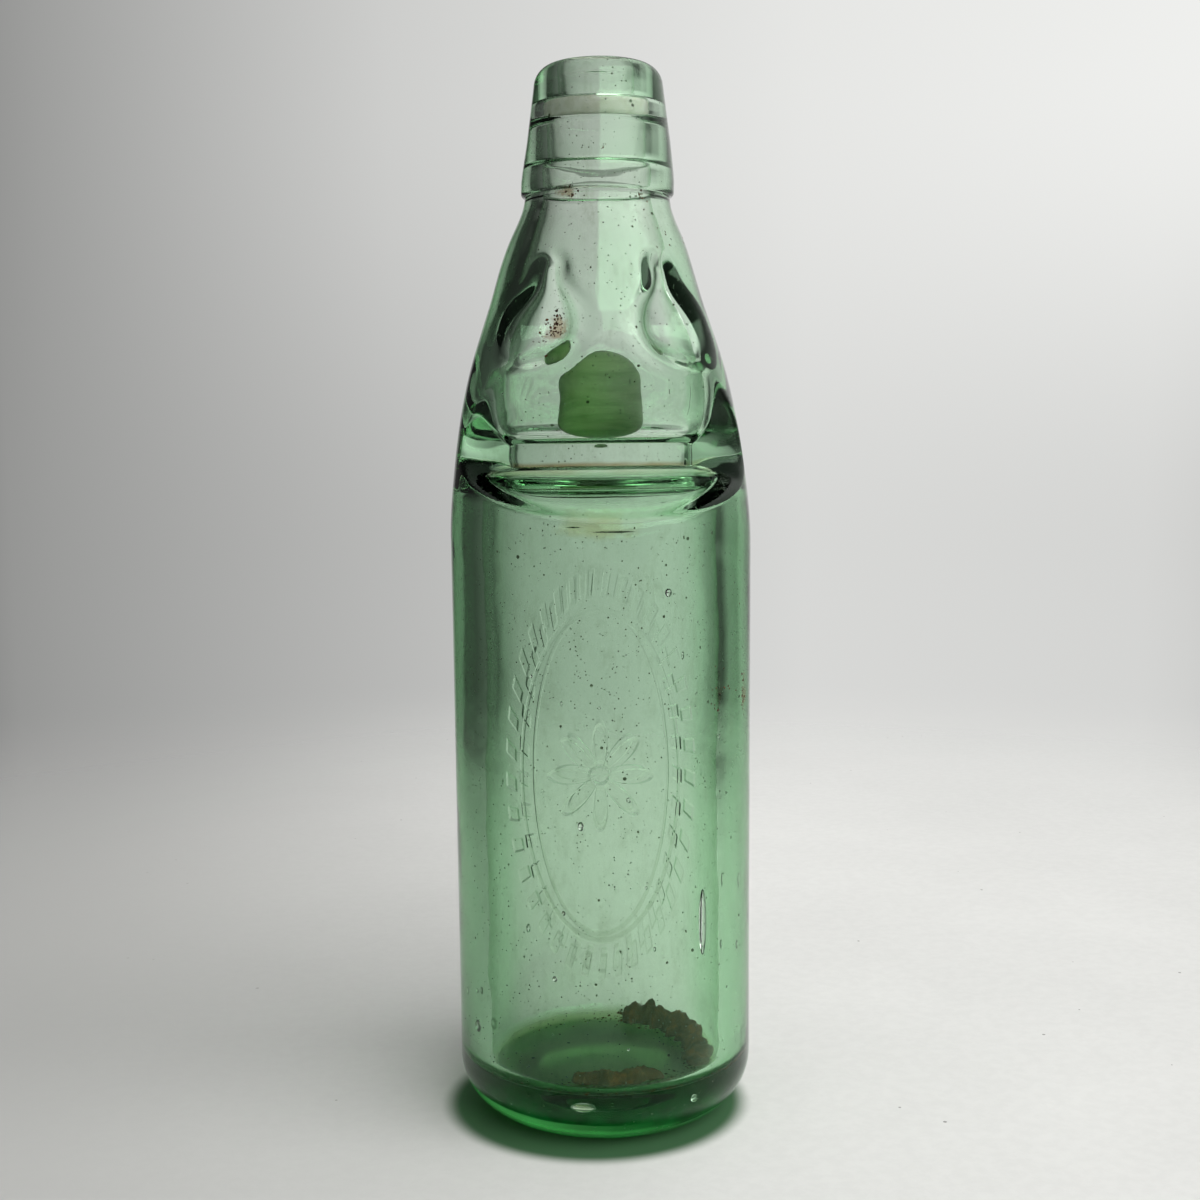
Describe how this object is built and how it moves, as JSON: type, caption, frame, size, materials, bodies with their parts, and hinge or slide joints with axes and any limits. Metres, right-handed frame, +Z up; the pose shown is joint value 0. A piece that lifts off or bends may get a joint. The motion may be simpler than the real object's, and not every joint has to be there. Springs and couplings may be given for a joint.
{
  "type": "marble stopper bottle",
  "caption": "Green glass drinks bottle with a pinched waist, a loose glass marble in the neck chamber and a rubber seal ring in the lip, which the marble closes from below.",
  "frame": {"origin": "centre of the foot, on the surface that the bottle stands on", "axes": "+Z up the bottle's axis, the two lugs of the chamber face -Y, the waist is pinched along Y"},
  "size_m": [0.064, 0.064, 0.222],
  "materials": {
    "bottle_glass": "gloss",
    "marble_glass": "satin",
    "seal_rubber": "matte"
  },
  "bodies": {
    "bottle": {"glass_bottle": "bottle_glass", "seal_ring": "seal_rubber"},
    "stopper": {"marble": "marble_glass"}
  },
  "joints": [
    {"name": "marble_rise", "type": "slide", "parent": "bottle", "child": "stopper", "axis": [0, 0, 1], "range_m": [0, 0.0532]}
  ]
}
